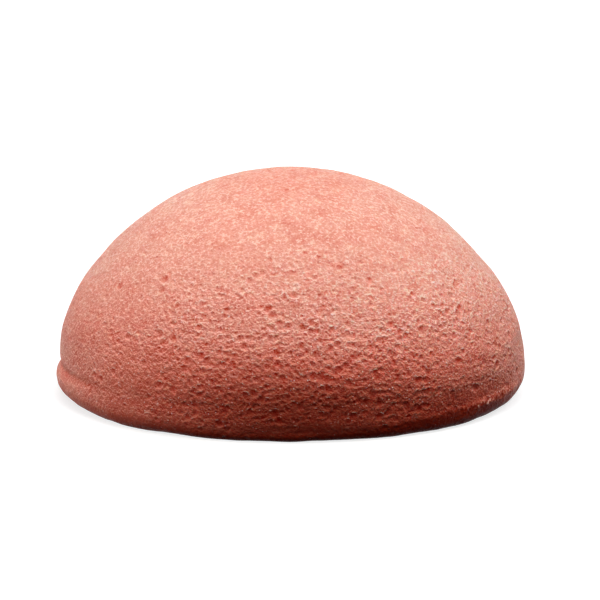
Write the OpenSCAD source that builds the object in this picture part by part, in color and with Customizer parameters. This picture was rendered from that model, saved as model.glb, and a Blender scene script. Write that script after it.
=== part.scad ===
// Konjac sponge: a half ball of moulded foam that stands on its flat side.
// Its outline is turned about the Z axis. The origin is the middle of the flat side.

/* [Body] */
// Width across the rolled rim
across = 80; // [70:1:95]
// Height from the flat side to the top of the dome
tall = 39; // [34:1:46]
// Slope, as rise for each unit of run, of the line on which the dome's shoulder meets its crown
join_share = 0.75; // [0.5:0.05:1]

/* [Rolled rim] */
// Radius of the bead's underside, which is also the height of its widest point
bead_r = 4.5; // [3.6:0.1:5.4]
// How far the bead stands out from the wall of the dome
bead_proud = 0.8; // [0.5:0.1:1.1]
// Height of the crease between the bead and the dome
crease_h = 6.6; // [6:0.1:7.4]
// Radius that rounds the dome's lower edge into the crease
crease_r = 0.6; // [0.4:0.1:0.9]

/* [Skin] */
// Thickness of the fine-celled skin on the dome
skin_t = 1.6; // [1.3:0.1:2.2]
// Thickness of the skin on the flat side
base_t = 1.6; // [1.3:0.1:2.2]

/* [Open cells] */
// Distance between the large cells that open through the surface
cell_pitch = 5.5; // [4.8:0.1:8]
// Radius of the smallest of them
cell_min_r = 0.5; // [0.3:0.05:0.7]
// Radius of the largest of them
cell_max_r = 1; // [0.8:0.05:1.2]

/* [Hidden] */
$fn = 120;

// Tallest dome that the two arcs make, as a share of the wall's radius. A taller one has an upright wall below.
tallest_share = 0.97;

// The shoulder arc leaves the wall upright, and the crown arc carries on from it with the same slope.
wall_r = across / 2 - bead_proud;
upright = max(0, tall - crease_h - tallest_share * wall_r);
shoulder_h = crease_h + upright;
rise = tall - shoulder_h;
// Length of the joining line for each unit of run
join_reach_share = sqrt(1 + pow(join_share, 2));
join_angle = atan(join_share);
shoulder_ring_r = (wall_r - rise) / (1 + join_share - join_reach_share);
shoulder_r = wall_r - shoulder_ring_r;
crown_h = shoulder_h - join_share * shoulder_ring_r;
crown_r = tall - crown_h;

// The bead is a quarter round underneath. A tighter arc brings it in from its widest point to the crease.
bead_ring_r = across / 2 - bead_r;
bead_inner_r = across / 2 - 2 * bead_r;
lip_rise = crease_h - bead_r;
lip_draw = bead_proud + crease_r;
lip_r = (pow(lip_rise, 2) + pow(lip_draw, 2)) / (2 * lip_draw);

// Cells stand in rows round the axis, each shifted at random by up to this share of its place in the row.
cell_drift_share = 0.25;
cell_fn = 24;

// Height at which the two arcs meet, at a depth below the surface
function join_h(depth) = shoulder_h + (shoulder_r - depth) * join_share / join_reach_share;

// Number of rows or cells that fill a length
function cells_in(length) = max(1, round(length / cell_pitch));

// Length of an arc
function arc_length(r, angle) = PI * r * angle / 180;

// Outline of the dome above the crease, drawn in by a depth below its surface
module dome_outline(depth) {
    intersection() {
        translate([0, crown_h]) circle(crown_r - depth);
        translate([0, join_h(depth)]) square(crown_r);
    }
    intersection() {
        translate([shoulder_ring_r, shoulder_h]) circle(shoulder_r - depth);
        translate([shoulder_ring_r, shoulder_h]) square([shoulder_r, join_h(depth) - shoulder_h]);
    }
    translate([0, shoulder_h]) square([shoulder_ring_r, join_h(depth) - shoulder_h]);
    if (upright > 0) translate([0, crease_h]) square([wall_r - depth, upright]);
}

// One row of cells: balls of random sizes, centred on a surface that is turned about the axis
module cell_row(r, h, seed) {
    count = max(3, cells_in(2 * PI * r));
    sizes = rands(cell_min_r, cell_max_r, count, seed);
    drifts = rands(-cell_drift_share, cell_drift_share, count, seed + 0.5);
    for (i = [0 : count - 1])
        rotate((i + 0.5 + drifts[i]) * 360 / count)
            translate([r, 0, h])
                sphere(sizes[i], $fn = cell_fn);
}

// Rows of cells along an arc of the outline, between two angles about the arc's centre
module cell_rows_on_arc(centre_r, centre_h, r, from, to, seed) {
    rows = cells_in(arc_length(r, to - from));
    for (i = [0 : rows - 1]) {
        angle = from + (i + 0.5) / rows * (to - from);
        cell_row(centre_r + r * cos(angle), centre_h + r * sin(angle), seed + i);
    }
}

// Rows of cells on the flat side, which leave its middle flat
module cell_rows_on_base(seed) {
    rows = cells_in(bead_inner_r);
    for (i = [0 : rows - 1])
        cell_row((i + 0.5) / rows * bead_inner_r, 0, seed + i);
}

module konjac_core() {
    color("lightsalmon") rotate_extrude() {
        dome_outline(skin_t);
        translate([0, base_t]) square([bead_inner_r, crease_h - base_t]);
    }
}

module dome_skin() {
    color("salmon") difference() {
        rotate_extrude() difference() {
            dome_outline(0);
            dome_outline(skin_t);
            translate([wall_r - crease_r, crease_h]) difference() {
                square(crease_r);
                translate([0, crease_r]) circle(crease_r);
            }
        }
        cell_rows_on_arc(shoulder_ring_r, shoulder_h, shoulder_r, 0, join_angle, 1);
        cell_rows_on_arc(0, crown_h, crown_r, join_angle, 90, 31);
    }
}

module rim_bead() {
    color("indianred") difference() {
        rotate_extrude() {
            translate([bead_inner_r, 0]) square([bead_ring_r - bead_inner_r, crease_h]);
            intersection() {
                translate([bead_ring_r, bead_r]) circle(bead_r);
                translate([bead_ring_r, 0]) square(bead_r);
            }
            intersection() {
                translate([across / 2 - lip_r, bead_r]) circle(lip_r);
                translate([across / 2 - lip_r, bead_r]) square([lip_r, lip_rise]);
            }
            translate([bead_ring_r, bead_r]) square([bead_r - lip_r, lip_rise]);
        }
        cell_rows_on_arc(bead_ring_r, bead_r, bead_r, -90, 0, 61);
    }
}

module base_skin() {
    color("darksalmon") difference() {
        cylinder(h = base_t, r = bead_inner_r);
        cell_rows_on_base(91);
    }
}

konjac_core();
dome_skin();
rim_bead();
base_skin();
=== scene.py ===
import math

import bpy
import numpy as np
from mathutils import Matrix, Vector


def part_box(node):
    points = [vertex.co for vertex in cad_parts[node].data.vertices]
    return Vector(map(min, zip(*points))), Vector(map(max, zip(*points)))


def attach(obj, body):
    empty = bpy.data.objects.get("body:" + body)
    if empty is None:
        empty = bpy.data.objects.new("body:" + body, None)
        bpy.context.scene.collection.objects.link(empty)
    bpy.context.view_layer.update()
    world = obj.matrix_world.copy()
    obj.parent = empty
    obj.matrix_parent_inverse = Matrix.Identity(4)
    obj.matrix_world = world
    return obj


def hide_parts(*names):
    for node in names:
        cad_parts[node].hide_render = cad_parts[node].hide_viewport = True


MM = 0.001

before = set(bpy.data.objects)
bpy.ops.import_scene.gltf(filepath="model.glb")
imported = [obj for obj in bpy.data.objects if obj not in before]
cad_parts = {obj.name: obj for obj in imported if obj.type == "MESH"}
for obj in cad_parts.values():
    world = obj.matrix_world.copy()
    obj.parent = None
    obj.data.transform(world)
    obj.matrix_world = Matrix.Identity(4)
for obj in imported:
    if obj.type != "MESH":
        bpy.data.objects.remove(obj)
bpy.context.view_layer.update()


# Sizes from the CAD

def high_corner(node):
    """The node's highest corner, in millimetres."""
    return [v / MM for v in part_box(node)[1]]


CORE_R = high_corner("konjac_core")[0]
WALL_R, _, TOP = high_corner("dome_skin")
RIM_R, _, CREASE_H = high_corner("rim_bead")
BASE_R, _, BASE_T = high_corner("base_skin")
SKIN_T = WALL_R - CORE_R
BEAD_R = (RIM_R - BASE_R) / 2
FLAT_R = RIM_R - BEAD_R

# The dome's crown and shoulder arcs meet on a line of this slope.
JOIN_SHARE = 0.75
JOIN_ANGLE = math.atan2(1, JOIN_SHARE)
SHOULDER_RING_R = (WALL_R - (TOP - CREASE_H)) / (1 + JOIN_SHARE - math.hypot(1, JOIN_SHARE))
SHOULDER_R = WALL_R - SHOULDER_RING_R
CROWN_H = CREASE_H - JOIN_SHARE * SHOULDER_RING_R
CROWN_R = TOP - CROWN_H

# Spacing of the mesh's points on the shown surface, on the underside, on the faces between pieces
# and on the core
FINE, BASE_FINE, COARSE = ((0.18, 0.36, 2.0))
CORE_STEP = 1.0

# Spacing of the large and the small popped bubbles
LARGE_CELL, SMALL_CELL = 1.4, 0.8

# How damp the flat side is, from 0 to 1
FLAT_SIDE_DAMP = 0.3

# What the material reads from the mesh, besides how level the surface is. The values of the pits and of
# wetness also carry painted shade, and the values of the upper lips a painted highlight.
FOAM_VALUES = ("pit_shade", "lip_highlight", "active", "damp_and_shade")

# Stands for nothing, where a number mustn't be zero
TINY = 1e-6


# Numbers that repeat the same way on every run

def steps(low, high, x):
    """Smooth step from 0 at low to 1 at high."""
    t = np.clip((x - low) / (high - low), 0, 1)
    return t * t * (3 - 2 * t)


# Odd factors and shifts that scatter whole numbers of 32 bits evenly
AXIS_FACTORS = (0x8DA6B343, 0xD8163841, 0xCB1AB31F)
SEED_FACTOR = 0x9E3779B1
SCATTER = ((15, 0x2C1B3C6D), (12, 0x297A2D39))
LAST_SHIFT = 15
LOW_BITS = 0xFFFFFFFF


def hashed(cells, seed):
    """A number from 0 to 1 for each row of whole numbers in cells."""
    whole = cells.astype(np.int64).astype(np.uint32)
    x, y, z = (whole[:, axis] * np.uint32(factor) for axis, factor in enumerate(AXIS_FACTORS))
    h = x ^ y ^ z ^ np.uint32(seed * SEED_FACTOR & LOW_BITS)
    for shift, factor in SCATTER:
        h = (h ^ h >> np.uint32(shift)) * np.uint32(factor)
    h = h ^ h >> np.uint32(LAST_SHIFT)
    return h / 2.0 ** 32


def noise(points, size, seed):
    """Smooth noise from -1 to 1 with features of about this size."""
    p = points / size
    low = np.floor(p)
    f = p - low
    f = f * f * f * (f * (f * 6 - 15) + 10)
    total = np.zeros(len(p))
    for corner in np.ndindex(2, 2, 2):
        near = np.array(corner)
        weight = np.prod(np.where(near == 1, f, 1 - f), axis=1)
        total += weight * hashed(low + near, seed)
    return total * 2 - 1


def layered_noise(points, size, seed, layers=3):
    """Noise with finer and weaker noise on top of it."""
    total = sum(noise(points, size / 2 ** n, seed + n) / 2 ** n for n in range(layers))
    return total / sum(1 / 2 ** n for n in range(layers))


def bubbles(points, size, seed, share, biggest):
    """The bubbles that the surface cuts open. They fill the foam, one to each cell of this size.

    share is how many are open at each point, and biggest is the radius of the largest as a share of the size.
    Returns how deep the surface sinks, as a share of the size, how high up in its bubble each point is,
    from -1 to 1, and 1 on the upper lips of the bubbles, which the material paints as highlights.
    """
    p = points / size
    home = np.floor(p)
    depth, above, lip_highlight = np.zeros(len(p)), np.zeros(len(p)), np.zeros(len(p))
    for near in np.ndindex(3, 3, 3):
        cell = home + np.array(near) - 1
        jitter = np.stack([hashed(cell, seed + n) for n in range(3)], axis=1)
        to_centre = cell + 0.5 + 0.9 * (jitter - 0.5) - p
        rank = hashed(cell, seed + 3)
        opened = np.sqrt(np.clip((share - rank) / 0.15, 0, 1))
        r = np.maximum(biggest * (0.45 + 0.55 * hashed(cell, seed + 4)) * opened, TINY)
        away = np.sqrt(np.sum(to_centre ** 2, axis=1)) / r
        up = -to_centre[:, 2] / (r * np.maximum(away, TINY))
        sink = r * (1 - away ** 2)
        above = np.where(sink > depth, up, above)
        depth = np.maximum(depth, sink)
        edge = steps(0.88, 1.02, away) * steps(1.02 + 0.16 / r, 1.02, away)
        lip_highlight = np.maximum(lip_highlight, edge * steps(0.35, 0.85, up) * steps(0.1, 0.35, r))
    return depth, above, lip_highlight


# Outlines, as points (radius, height) from the axis outwards

def dome_line(depth, step):
    """The dome from its top to the crease, at a depth below the surface."""
    crown = np.linspace(0, JOIN_ANGLE, max(4, int((CROWN_R - depth) * JOIN_ANGLE / step)), endpoint=False)
    sweep = math.pi / 2 - JOIN_ANGLE
    shoulder = np.linspace(JOIN_ANGLE, math.pi / 2, max(4, int((SHOULDER_R - depth) * sweep / step)))
    crown_arc = np.stack([np.sin(crown), np.cos(crown)], 1) * (CROWN_R - depth)
    shoulder_arc = np.stack([np.sin(shoulder), np.cos(shoulder)], 1) * (SHOULDER_R - depth)
    return np.concatenate([crown_arc + [0, CROWN_H], shoulder_arc + [SHOULDER_RING_R, CREASE_H]])


def rim_line(step):
    """The wall below the crease, turned under to the flat side. The bead is added to it later."""
    wall = np.linspace(CREASE_H, BEAD_R, max(3, int((CREASE_H - BEAD_R) / step)), endpoint=False)
    turn_length = 1.45 * (WALL_R - FLAT_R + BEAD_R) / 2
    turn = np.linspace(0, math.pi / 2, max(6, int(turn_length / step) + 1))
    under = np.stack([FLAT_R + (WALL_R - FLAT_R) * np.cos(turn), BEAD_R * (1 - np.sin(turn))], 1)
    flat = straight((FLAT_R, 0), (BASE_R, 0), step)[1:]
    return np.concatenate([np.stack([np.full(len(wall), WALL_R), wall], 1), under, flat])


def straight(start, end, step):
    """Points on the line from start to end."""
    start, end = np.array(start, float), np.array(end, float)
    count = max(1, round(float(np.linalg.norm(end - start)) / step))
    return start + (end - start) * np.linspace(0, 1, count + 1)[:, None]


class Rings:
    """Rings of points round the axis, with the directions that the surface faces.

    Every second ring is turned by half a step, and a ring on the axis is a single point.
    """

    KEYS = ("line", "facing", "counts", "turns", "shown")
    FEWEST = 8

    def __init__(self, line, step, shown):
        self.line = np.asarray(line, float)
        along = np.gradient(self.line, axis=0)
        along /= np.maximum(np.linalg.norm(along, axis=1), TINY)[:, None]
        self.facing = np.stack([-along[:, 1], along[:, 0]], 1)
        self.counts = np.maximum(self.FEWEST, np.round(2 * math.pi * self.line[:, 0] / step)).astype(int)
        self.counts[self.line[:, 0] < TINY] = 1
        self.turns = np.arange(len(self.line)) % 2 * 0.5
        self.shown = np.full(len(self.line), shown)

    def part(self, first, last):
        """The rings from first to last, both included."""
        part = Rings.__new__(Rings)
        for key in Rings.KEYS:
            setattr(part, key, getattr(self, key)[first:last + 1])
        return part


def joined(*parts):
    """The rings of all the parts, one after another."""
    whole = Rings.__new__(Rings)
    for key in Rings.KEYS:
        setattr(whole, key, np.concatenate([getattr(p, key) for p in parts]))
    return whole


def triangles_between(first_a, count_a, turn_a, first_b, count_b, turn_b):
    """Triangles that close the band between two neighbouring rings."""
    a, b = np.arange(count_a), np.arange(count_b)
    ahead_a, ahead_b = (a + 0.5 + turn_a) / count_a, (b + 0.5 + turn_b) / count_b
    beside_a = np.searchsorted(ahead_b, ahead_a, side="left")
    beside_b = np.searchsorted(ahead_a, ahead_b, side="right")
    bands = []
    if count_a > 1:
        bands.append(np.stack([first_a + a, first_b + beside_a % count_b, first_a + (a + 1) % count_a], 1))
    if count_b > 1:
        bands.append(np.stack([first_a + beside_b % count_a, first_b + b, first_b + (b + 1) % count_b], 1))
    return np.concatenate(bands)


# How the moulding differs from its plain outline. The numbers were fitted to the photograph.
# Angles are counted from +X, so the photograph sees the side at 270, with 180 on its left and 0 on its right.

def round_about(angle, middle, half_width):
    """1 at the middle angle, fading to 0 at half_width from it. Angles are in degrees."""
    off = (angle - middle + 180) % 360 - 180
    return steps(half_width, 0, np.abs(off))


def settled(radius, angle, height):
    """Radius and height after the foam has settled unevenly on its side."""
    left, right = round_about(angle, 180, 75), round_about(angle, 0, 75)
    front = round_about(angle, 272, 55)
    crease_drop = -0.5 * left + 0.4 * right
    bead_drop = -0.5 * left + 0.6 * right
    share_at = np.interp(height, [0, BEAD_R, CREASE_H, 14], [0, 1, 1, 0])
    toward_crease = np.interp(height, [BEAD_R, CREASE_H], [0, 1])
    drop = share_at * (bead_drop + (crease_drop - bead_drop) * toward_crease)
    low = steps(TOP, 8, height)
    lobe = 0.22 * np.cos(np.radians(2 * angle + 40)) + 0.16 * np.cos(np.radians(3 * angle - 75))
    flank = np.interp(height, [0, 5, 12, 24, 34], [0, 0.25, 0.45, -0.3, 0]) * (0.8 * left + 1.1 * right)
    foot = (0.45 * round_about(angle, 212, 60) + 0.6 * round_about(angle, 324, 60)) * steps(4.5, 0, height)
    tuck = 1.1 * front * steps(11, 2.5, height) * (1 - 0.7 * steps(2, 0, height))
    return radius + (lobe * low + flank + foot - tuck) * radius / WALL_R, height + drop


def bump_at(x, middle, width):
    """1 at the middle, fading to both sides over about this width."""
    return np.exp(-((x - middle) / width) ** 2)


def crease_depth(angle, height):
    """How deep the crease is that parts the bead from the dome on the left and at the back."""
    strength = 0.24 * round_about(angle, 184, 46) + 0.2 * round_about(angle, 90, 100)
    return strength * bump_at(height, CREASE_H, 0.65)


def above_ridge(angle, height):
    """How far a height is above the ridge at the lower right, which comes down toward the front."""
    return height - np.interp(angle, [306, 342], [2.6, 3.5])


def ridge_height(angle, height):
    """About 1 on the uneven ridge, where the bead is pinched."""
    uneven = 0.7 + 0.3 * np.sin(np.radians(31 * angle)) * np.sin(np.radians(53 * angle + 40))
    return uneven * round_about(angle, 329, 32) * bump_at(above_ridge(angle, height), 0, 0.7)


def hollow_depth(angle, height):
    """1 where the wall is turned in deepest above that ridge."""
    above = above_ridge(angle, height)
    return round_about(angle, 322, 36) * steps(5.4, 0.7, above) * steps(-2.0, 0.3, above)


def bead_height(angle, height):
    """How far the bead stands out, with the crease above it and the ridge on the right."""
    left, right = round_about(angle, 176, 50), round_about(angle, 4, 70)
    back = round_about(angle, 90, 100)
    proud = (RIM_R - WALL_R) * (0.05 + 1.0 * left + 0.75 * right + 0.6 * back)
    top = CREASE_H + 0.2 + 5 * round_about(angle, 2, 50)
    swell = steps(top, CREASE_H - 2.2, height) * steps(0, 0.8 * BEAD_R, height)
    pinch = 0.35 * ridge_height(angle, height) - 0.6 * hollow_depth(angle, height)
    return proud * swell - crease_depth(angle, height) + pinch


def openness(points, angle, height):
    """How open the foam is, from 0.1 to 1.1, in patches: most at the front, then at the back."""
    lively = np.maximum(round_about(angle, 276, 95), 0.8 * round_about(angle, 96, 75))
    lively = lively * steps(33, 15, height) * steps(1, 5, height)
    patch = layered_noise(points, 9, 41)
    return np.clip(0.3 + 0.65 * lively + 0.25 * patch, 0.1, 1.1)


def dampness_and_shade(points, angle, height, ridge_sparkle):
    """How wet the foam is, from 0 to 1, with painted shade: most low down at the front and in the folds of
    the rim, where shade falls, and a little on the crown's top.
    """
    front = 0.36 * steps(28, 12, height) + 0.54 * round_about(angle, 274, 98) * steps(20, 5, height)
    front -= 0.08 * np.cos(np.radians(angle)) * steps(36, 28, height) * steps(10, 18, height)
    # Painted shade that dims the top of the crown
    front += 0.14 * steps(35.5, 38.6, height)
    # Painted shade low down all round, most at the front and darkest towards the bottom edge
    low = 0.38 * steps(12, 6, height) + 0.49 * steps(5.5, 2, height) + 0.13 * steps(2.4, 0.6, height)
    low = low * (0.6 + 0.4 * np.maximum(round_about(angle, 270, 125), round_about(angle, 306, 90)))
    # Painted shade in the crease, in the hollow above the ridge and in the fold under it, less on the ridge's
    # painted sparkle
    folds = 1.5 * crease_depth(angle, height) + 0.2 * hollow_depth(angle, height) - 0.25 * ridge_sparkle
    folds += 0.22 * round_about(angle, 316, 46) * steps(1.0, -1.5, above_ridge(angle, height))
    damp_and_shade = np.clip(np.maximum(front, low) + folds, 0, 1)
    flat = steps(FLAT_R, FLAT_R - 2, np.hypot(points[:, 0], points[:, 1])) * (height < BEAD_R)
    return damp_and_shade + (FLAT_SIDE_DAMP - damp_and_shade) * flat


def foam(points, angle, height):
    """The foam's surface: how far it sinks, and what the material needs to know about it."""
    bend = np.stack([layered_noise(points, 1.3, seed, 2) for seed in (11, 21, 31)], 1)
    bent = points + 0.18 * bend
    active = openness(points, angle, height)
    large, large_above, large_lip_highlight = bubbles(bent, LARGE_CELL, 51, 1.35 * active - 0.36, 0.62)
    small, small_above, small_lip_highlight = bubbles(bent, SMALL_CELL, 61, 0.2 + 0.8 * active, 0.64)
    large = 0.31 * LARGE_CELL * large
    small = (0.1 + 0.34 * active) * SMALL_CELL * small
    sunk = np.maximum(large, small)
    above = np.where(large > small, large_above, small_above)
    # Painted shade in the pits, most on their upper sides, where light from above doesn't reach
    pit_shade = np.clip(sunk / 0.3, 0, 1) * (0.72 + 0.28 * above)
    # Painted sparkle of pale grains along the ridge at the lower right
    ridge_sparkle = ridge_height(angle, height) * steps(0, 0.4, noise(points, 0.35, 91))
    # Upper lips of the pits: raised a little in the mesh, and painted as highlights in the material
    lip_highlight = np.maximum(large_lip_highlight, 0.6 * active * small_lip_highlight) * steps(0.08, 0.01, sunk)
    lip_highlight = np.maximum(lip_highlight, ridge_sparkle)
    waves = 0.16 * layered_noise(points, 5, 71, 2) + 0.02 * layered_noise(bent, 1.3, 81, 2)
    # How wet the foam is, with painted shade low down and in the folds
    damp_and_shade = dampness_and_shade(points, angle, height, ridge_sparkle)
    return {"sunk": sunk - waves - 0.06 * lip_highlight, "pit_shade": pit_shade, "lip_highlight": lip_highlight, "active": active, "damp_and_shade": damp_and_shade}


def surface(rings):
    """Points and material values of all the rings."""
    radius = np.repeat(rings.line[:, 0], rings.counts)
    height = np.repeat(rings.line[:, 1], rings.counts)
    face_r = np.repeat(rings.facing[:, 0], rings.counts)
    face_z = np.repeat(rings.facing[:, 1], rings.counts)
    shown = np.repeat(rings.shown, rings.counts)
    turn = np.concatenate([(np.arange(n) + t) / n for n, t in zip(rings.counts, rings.turns)])
    angle = 360 * turn
    across, along = np.cos(2 * math.pi * turn), np.sin(2 * math.pi * turn)
    outward = np.stack([face_r * across, face_r * along, face_z], 1)
    settled_r, settled_h = settled(radius, angle, height)
    points = np.stack([settled_r * across, settled_r * along, settled_h], 1)
    values = {key: np.zeros(len(points)) for key in FOAM_VALUES}
    raised = bead_height(angle, height)
    made = foam(points[shown], angle[shown], height[shown])
    points[shown] += outward[shown] * (raised[shown] - made["sunk"])[:, None]
    for key in FOAM_VALUES:
        values[key][shown] = made[key]
    reach = 0.1
    below, over = (
        settled(radius, angle, h)[0] + bead_height(angle, h) for h in (height - reach, height + reach)
    )
    # How far the smooth surface faces up. The material paints shade or highlights by how far the bumped
    # surface turns from it.
    values["level"] = outward[:, 2] - (over - below) / (2 * reach) * face_r ** 2
    points[:, 2] = np.maximum(points[:, 2], 0)
    return points, values


def mark_sharp(mesh, chosen):
    """Makes the edges between the chosen points sharp, so that hidden faces don't shade the shown ones."""
    ends = np.empty(len(mesh.edges) * 2, np.int32)
    mesh.edges.foreach_get("vertices", ends)
    sharp = mesh.attributes.new("sharp_edge", "BOOLEAN", "EDGE")
    sharp.data.foreach_set("value", chosen[ends.reshape(-1, 2)].all(axis=1))


def build_piece(name, rings, closed=False):
    """A mesh from rings of points. A closed one joins its last ring to its first."""
    points, values = surface(rings)
    first = np.concatenate([[0], np.cumsum(rings.counts)[:-1]])
    pairs = [(i, i + 1) for i in range(len(rings.counts) - 1)]
    if closed:
        pairs.append((len(rings.counts) - 1, 0))
    ring = list(zip(first, rings.counts, rings.turns))
    faces = np.concatenate([triangles_between(*ring[i], *ring[j]) for i, j in pairs])
    mesh = bpy.data.meshes.new(name)
    mesh.vertices.add(len(points))
    mesh.vertices.foreach_set("co", (points * MM).astype(np.float32).ravel())
    mesh.loops.add(faces.size)
    mesh.loops.foreach_set("vertex_index", faces.astype(np.int32).ravel())
    mesh.polygons.add(len(faces))
    mesh.polygons.foreach_set("loop_start", np.arange(0, faces.size, 3, dtype=np.int32))
    mesh.polygons.foreach_set("use_smooth", np.ones(len(faces), bool))
    mesh.update(calc_edges=True)
    border = {i if rings.shown[i] else j for i, j in pairs if rings.shown[i] != rings.shown[j]}
    mark_sharp(mesh, np.repeat([i in border for i in range(len(rings.counts))], rings.counts))
    for key, value in values.items():
        mesh.attributes.new(key, "FLOAT", "POINT").data.foreach_set("value", value.astype(np.float32))
    piece = bpy.data.objects.new(name, mesh)
    bpy.context.scene.collection.objects.link(piece)
    return piece


# Materials

def linear(red, green, blue):
    """A colour for a shader from its values of 0 to 255 on the screen."""
    parts = [v / 255 for v in (red, green, blue)]
    return tuple(v / 12.92 if v <= 0.04045 else ((v + 0.055) / 1.055) ** 2.4 for v in parts) + (1,)


class Nodes:
    """Short calls for making the nodes of a material or the world."""

    def __init__(self, owner):
        owner.use_nodes = True
        self.tree = owner.node_tree
        self.tree.nodes.clear()

    def add(self, kind, inputs=None, **settings):
        node = self.tree.nodes.new(kind)
        for key, value in settings.items():
            setattr(node, key, value)
        for key, value in (inputs or {}).items():
            if isinstance(value, bpy.types.NodeSocket):
                self.tree.links.new(value, node.inputs[key])
            else:
                node.inputs[key].default_value = value
        return node

    def math(self, operation, a, b, clamp=False):
        return self.add("ShaderNodeMath", {0: a, 1: b}, operation=operation, use_clamp=clamp).outputs[0]

    def vector(self, operation, inputs):
        return self.add("ShaderNodeVectorMath", inputs, operation=operation)

    def spread(self, value, low, high, to_low=0.0, to_high=1.0):
        """A value from low to high, spread smoothly over the range from to_low to to_high."""
        node = self.add("ShaderNodeMapRange", {
            "Value": value, "From Min": low, "From Max": high, "To Min": to_low, "To Max": to_high,
        }, interpolation_type="SMOOTHSTEP")
        return node.outputs["Result"]

    def mix(self, share, a, b, blend="MIX"):
        """Two colours mixed. Inputs 6 and 7 and output 2 are the node's sockets for colours."""
        node = self.add("ShaderNodeMix", {0: share, 6: a, 7: b}, data_type="RGBA", blend_type=blend)
        return node.outputs[2]

    def attribute(self, name):
        return self.add("ShaderNodeAttribute", attribute_name=name).outputs["Fac"]

    def upward(self, normal):
        """How far a normal points up, from -1 to 1."""
        return self.vector("DOT_PRODUCT", {0: normal, 1: (0, 0, 1)}).outputs["Value"]

    def texture(self, kind, where, size, **inputs):
        """A noise or cell texture with features of about this size."""
        return self.add(kind, {"Vector": where, "Scale": 1 / (size * MM), **inputs})

    def noise(self, where, size, detail):
        return self.texture("ShaderNodeTexNoise", where, size, Detail=detail, Roughness=0.6).outputs["Fac"]

    def bowls(self, where, size):
        """Height of a surface full of bowls of about this size: 0 in their middles, 0.5 on their rims."""
        away = self.texture("ShaderNodeTexVoronoi", where, size).outputs["Distance"]
        return self.math("MULTIPLY", away, away)

    def specks(self, where, spacing, radius, share):
        """1 in round specks of this radius, in this share of the places for them."""
        places = self.texture("ShaderNodeTexVoronoi", where, spacing)
        rank = self.add("ShaderNodeSeparateColor", {0: places.outputs["Color"]}).outputs[0]
        near = self.spread(places.outputs["Distance"], radius / spacing, 0.5 * radius / spacing)
        return self.math("MULTIPLY", near, self.math("LESS_THAN", rank, share))

    def wander(self, where, size, far):
        """The place moved by smooth noise, by up to about this far."""
        noise = self.texture("ShaderNodeTexNoise", where, size, Detail=2.0)
        centred = self.vector("SUBTRACT", {0: noise.outputs["Color"], 1: (0.5, 0.5, 0.5)})
        shift = self.vector("SCALE", {0: centred.outputs[0], "Scale": 2 * far * MM})
        return self.vector("ADD", {0: where, 1: shift.outputs[0]}).outputs[0]


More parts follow.
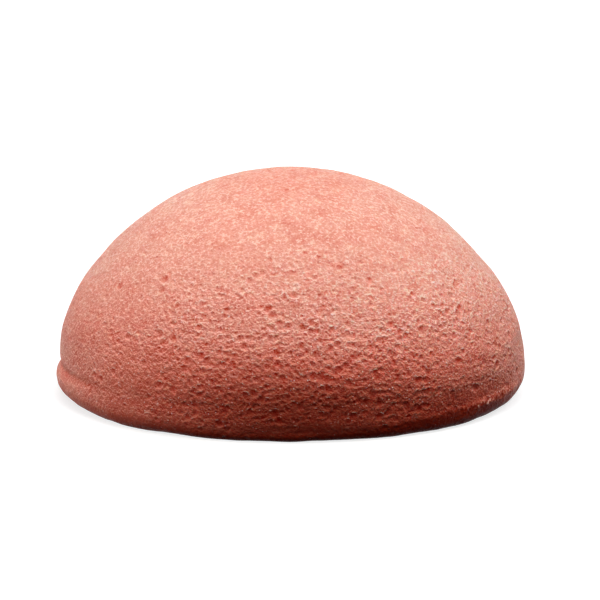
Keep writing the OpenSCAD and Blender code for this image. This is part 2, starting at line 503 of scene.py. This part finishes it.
def foam_material(name, glint_white, pale, body, deep, damp_and_shade_tint, shade, cell):
    """Damp foam with open cells of about the given size.

    Its body colour turns to deep in the pits and below overhangs, as painted shade, and to pale on ridges
    and, as painted highlight, on edges that face up. Where the foam is wet, and where shade falls low down
    and in the folds, it is multiplied by a red tint, and at the darkest places by shade too: painted shade.
    Specks and the sharpest lips get painted glints.
    """
    material = bpy.data.materials.new(name)
    n = Nodes(material)
    where = n.add("ShaderNodeTexCoord").outputs["Object"]
    bent = n.wander(where, 1.4 * cell, 0.2 * cell)

    pit_shade, lip_highlight, active, damp_and_shade = (n.attribute(key) for key in FOAM_VALUES)
    small, tiny = n.bowls(bent, cell), n.bowls(bent, 0.55 * cell)
    grain = n.noise(where, 0.42 * cell, 1.0)
    patches = n.noise(where, 5 * cell, 3.0)
    height = n.math("ADD", n.math("MULTIPLY", small, 0.5), n.math("MULTIPLY", tiny, 0.5))
    height = n.math("ADD", height, n.math("MULTIPLY", grain, 0.3))
    relief = n.math("MULTIPLY", n.spread(active, 0.1, 1.1, 0.36, 0.58), n.spread(pit_shade, 0.8, 0.2, 0.4, 1.0))
    bump = n.add("ShaderNodeBump", {
        "Strength": relief, "Distance": 0.62 * cell * MM, "Height": height,
    }).outputs[0]
    # How far the bumped surface turns up or down from the smooth one: painted shade where it turns down,
    # painted highlight where it turns up
    tilt_for_painted_light = n.math("SUBTRACT", n.upward(bump), n.attribute("level"))

    # Painted shade on the bottoms of the small bowls and in the pits, with the foam's own patches of redder
    # tone
    floor_shade = n.math("MULTIPLY", n.spread(height, 0.5, 0.2), n.spread(active, 0.1, 1.1, 0.3, 0.45))
    pit_shade_and_patches = n.math("ADD", n.spread(pit_shade, 0.05, 0.8, 0.0, 0.45), n.spread(patches, 0.4, 0.75, 0.0, 0.3))
    redness_and_shade = n.math("ADD", floor_shade, pit_shade_and_patches)
    redness_and_shade = n.math("ADD", redness_and_shade, n.spread(tilt_for_painted_light, -0.05, -0.5, 0.0, 0.4), clamp=True)
    # Pale on the ridges, and painted highlight on edges that face up and on the upper lips
    paleness_and_highlight = n.math("MULTIPLY", n.spread(height, 0.45, 0.7), n.spread(grain, 0.4, 0.6, 0.1, 1.0))
    paleness_and_highlight = n.math("MULTIPLY", paleness_and_highlight, n.spread(damp_and_shade, 0.2, 0.9, 1.0, 0.3))
    paleness_and_highlight = n.math("ADD", paleness_and_highlight, n.spread(tilt_for_painted_light, 0.05, 0.35, 0.0, 0.95))
    paleness_and_highlight = n.math("MULTIPLY", paleness_and_highlight, n.spread(pit_shade, 0.4, 0.05, 0.15, 1.0))
    paleness_and_highlight = n.math("ADD", paleness_and_highlight, lip_highlight)
    paleness_and_highlight = n.math("MULTIPLY", paleness_and_highlight, n.spread(tilt_for_painted_light, -0.35, -0.1), clamp=True)
    # Specks with painted glints in the colour and a real coat, fewer in the wettest places and in the pits
    glints = n.specks(bent, 0.9 * cell, 0.22 * cell, n.spread(active, 0.3, 1.0, 0.12, 0.42))
    glints = n.math("MULTIPLY", glints, n.spread(damp_and_shade, 0.95, 0.7, 0.15, 1.0))
    glints = n.math("MULTIPLY", glints, n.spread(pit_shade, 0.6, 0.1))

    # Painted shade: the body colour turns deep red in the pits, on bowl bottoms and where the surface turns
    # down
    colour = n.mix(redness_and_shade, linear(*body), linear(*deep))
    colour = n.mix(paleness_and_highlight, colour, linear(*pale))
    # Painted shade: a red tint where the foam is wet and where shade falls low down and in the folds
    colour = n.mix(n.math("MULTIPLY", damp_and_shade, n.spread(lip_highlight, 0.2, 1.0, 1.0, 0.5)), colour, damp_and_shade_tint, "MULTIPLY")
    # Painted shade, darkest at the bottom edge
    colour = n.mix(n.math("POWER", damp_and_shade, 4.0), colour, shade, "MULTIPLY")
    # Painted glints on the specks and painted highlights on the sharpest lips
    bright = n.math("MAXIMUM", n.math("MULTIPLY", glints, 0.75), n.spread(lip_highlight, 0.5, 1.0, 0.0, 0.5))
    colour = n.mix(bright, colour, linear(*glint_white))

    shader = n.add("ShaderNodeBsdfPrincipled", {
        "Base Color": colour, "Roughness": n.spread(height, 0.1, 0.5, 0.6, 0.4), "Normal": bump,
        "Specular IOR Level": 0.03, "IOR": 1.38,
        "Coat Weight": glints, "Coat Roughness": 0.12, "Coat IOR": 1.4,
        "Subsurface Weight": 0.6, "Subsurface Scale": 0.5 * MM, "Subsurface Radius": (1.0, 0.25, 0.15),
    })
    n.add("ShaderNodeOutputMaterial", {"Surface": shader.outputs[0]})
    return material


# The sponge's pieces

dome_outside = dome_line(0, FINE)
outer = Rings(np.concatenate([dome_outside, rim_line(FINE)[1:]]), FINE, True)
seam = len(dome_outside) - 1
last = len(outer.line) - 1

dome_inside = Rings(dome_line(SKIN_T, COARSE)[::-1], COARSE, False)
dome = build_piece("dome", joined(outer.part(0, seam), dome_inside))

rim_inside = Rings(np.concatenate([
    straight((BASE_R, BASE_T), (BASE_R, CREASE_H), COARSE),
    straight((BASE_R, CREASE_H), (WALL_R, CREASE_H), COARSE)[1:-1],
]), COARSE, False)
rim = build_piece("rim", joined(outer.part(seam, last), rim_inside), closed=True)

base_under = Rings(straight((BASE_R, 0), (0, 0), BASE_FINE), BASE_FINE, True)
base_inside = Rings(straight((0, BASE_T), (BASE_R, BASE_T), COARSE), COARSE, False)
edge_ring = outer.part(last, last)
under_edge = base_under.part(1, len(base_under.line) - 1)
base = build_piece("base", joined(base_inside, edge_ring, under_edge))

core_line = np.concatenate([
    dome_line(SKIN_T, CORE_STEP),
    straight((CORE_R, CREASE_H), (BASE_R, CREASE_H), CORE_STEP)[1:],
    straight((BASE_R, CREASE_H), (BASE_R, BASE_T), CORE_STEP)[1:],
    straight((BASE_R, BASE_T), (0, BASE_T), CORE_STEP)[1:],
])
core = build_piece("core", Rings(core_line, CORE_STEP, False))

# The glint and pale colours also paint highlights; deep, the red tint and shade also paint shade
foam_colours = dict(
    glint_white=(255, 228, 214), pale=(252, 212, 194), body=(238, 170, 151), deep=(212, 84, 60),
    damp_and_shade_tint=(0.95, 0.25, 0.14, 1), shade=(0.24, 0.13, 0.1, 1),
)
dome_foam = foam_material("dome_foam", **foam_colours, cell=0.62)
core_foam = foam_material("core_foam", **foam_colours, cell=1.1)

for piece, node, slot, material in (
    (dome, "dome_skin", "dome_foam", dome_foam),
    (rim, "rim_bead", "rim_foam", dome_foam),
    (base, "base_skin", "base_foam", dome_foam),
    (core, "konjac_core", "core_foam", core_foam),
):
    piece.data.materials.append(material)
    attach(piece, "root")
    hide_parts(node)


# Floor, light and camera. Lengths are in metres from here on.

WHITE = (1, 1, 1, 1)

# Each lamp's name, place, width and power in watts
LAMP_AIM = (0, 0, 0.015)
LAMPS = (
    ("top_lamp", (0, 0, 0.77), 0.5, 1.95),
    ("front_lamp", (0, -0.48, 0.60), 0.5, 3.6),
    ("left_lamp", (-0.74, 0, 0.125), 0.4, 2.72),
    ("right_lamp", (0.48, 0, 0.60), 0.4, 1.95),
    ("right_low_lamp", (0.68, 0.31, 0.125), 0.4, 0.6),
)

# The camera was fitted to the outline in the photograph. Its aim is a point on the axis at AIM_HEIGHT,
# moved right and up in the picture.
ELEVATION = math.radians(11.5)
DISTANCE = 0.700
AIM_HEIGHT, MOVED_RIGHT, MOVED_UP = 15 * MM, 1.65 * MM, 1.39 * MM
AIM = Vector((MOVED_RIGHT, MOVED_UP * math.sin(ELEVATION), AIM_HEIGHT + MOVED_UP * math.cos(ELEVATION)))
SENSOR_WIDTH, FOCAL_LENGTH = 36, 244.7
NEAREST, FARTHEST = 0.05, 20


def sees_background(n):
    """1 for rays that show the background: straight from the camera, mirrored or through glass."""
    path = n.add("ShaderNodeLightPath")
    seen = n.math("MAXIMUM", path.outputs["Is Camera Ray"], path.outputs["Is Glossy Ray"])
    return n.math("MAXIMUM", seen, path.outputs["Is Transmission Ray"])


def floor_material():
    """White to the camera, with the sponge's shadow on it. It throws little light back up.

    It is clear from below and under the flat side, so that a view from below shows that side in light.
    """
    material = bpy.data.materials.new("floor")
    n = Nodes(material)
    catch = n.add("ShaderNodeBsdfDiffuse", {"Color": (0.4, 0.4, 0.4, 1)})
    where = n.add("ShaderNodeTexCoord").outputs["Object"]
    away = n.vector("LENGTH", {0: where}).outputs["Value"]
    glow = n.add("ShaderNodeEmission", {"Color": WHITE, "Strength": n.spread(away, 0.05, 0.25, 0.76, 1.0)})
    shown = n.add("ShaderNodeAddShader", {0: catch.outputs[0], 1: glow.outputs[0]})
    dim = n.add("ShaderNodeBsdfDiffuse", {"Color": (0.03, 0.02, 0.02, 1)})
    seen = sees_background(n)
    mixed = n.add("ShaderNodeMixShader", {0: seen, 1: dim.outputs[0], 2: shown.outputs[0]})
    clear = n.add("ShaderNodeBsdfTransparent")
    below = n.add("ShaderNodeNewGeometry").outputs["Backfacing"]
    covered = n.spread(away, (FLAT_R - 2) * MM, (FLAT_R + 1.3) * MM, 1.0, 0.0)
    covered = n.math("MULTIPLY", covered, n.math("SUBTRACT", 1.0, seen))
    sided = n.add("ShaderNodeMixShader", {
        0: n.math("MAXIMUM", below, covered), 1: mixed.outputs[0], 2: clear.outputs[0],
    })
    n.add("ShaderNodeOutputMaterial", {"Surface": sided.outputs[0]})
    return material


def make_floor(half):
    """A square floor that reaches this far to every side."""
    corners = [(-half, -half, 0), (half, -half, 0), (half, half, 0), (-half, half, 0)]
    mesh = bpy.data.meshes.new("floor")
    mesh.from_pydata(corners, [], [(0, 1, 2, 3)])
    floor = bpy.data.objects.new("floor", mesh)
    bpy.context.scene.collection.objects.link(floor)
    mesh.materials.append(floor_material())


def make_world(above, below):
    """White where the camera sees it, and weak even light on the sponge from above and below the floor."""
    world = bpy.data.worlds.new("world")
    bpy.context.scene.world = world
    n = Nodes(world)
    shown = n.add("ShaderNodeBackground", {"Color": WHITE, "Strength": 1.0})
    up = n.upward(n.add("ShaderNodeTexCoord").outputs["Generated"])
    strength = n.spread(up, -0.1, 0, below, above)
    lights = n.add("ShaderNodeBackground", {"Color": WHITE, "Strength": strength})
    mixed = n.add("ShaderNodeMixShader", {0: sees_background(n), 1: lights.outputs[0], 2: shown.outputs[0]})
    n.add("ShaderNodeOutputWorld", {"Surface": mixed.outputs[0]})


def place_facing(thing, place, aim):
    """Puts a lamp or camera in its place, turned to the aim point."""
    thing.location = place
    thing.rotation_euler = (Vector(aim) - Vector(place)).to_track_quat("-Z", "Y").to_euler()
    bpy.context.scene.collection.objects.link(thing)


def make_lamp(name, place, width, power):
    """A square soft box that faces the sponge."""
    light = bpy.data.lights.new(name, "AREA")
    light.shape = "SQUARE"
    light.size = width
    light.energy = power
    place_facing(bpy.data.objects.new(name, light), place, LAMP_AIM)


def make_camera(elevation, distance, aim):
    """The camera of the photograph, which looks along +Y and down by the elevation."""
    lens = bpy.data.cameras.new("camera")
    lens.sensor_width = SENSOR_WIDTH
    lens.lens = FOCAL_LENGTH
    lens.clip_start, lens.clip_end = NEAREST, FARTHEST
    camera = bpy.data.objects.new("camera", lens)
    back = Vector((0, -math.cos(elevation), math.sin(elevation)))
    place_facing(camera, aim + distance * back, aim)
    bpy.context.scene.camera = camera


make_floor(half=4.0)
make_world(above=0.015, below=0.2)
for lamp in LAMPS:
    make_lamp(*lamp)
make_camera(ELEVATION, DISTANCE, AIM)
bpy.context.scene.view_settings.view_transform = "Standard"
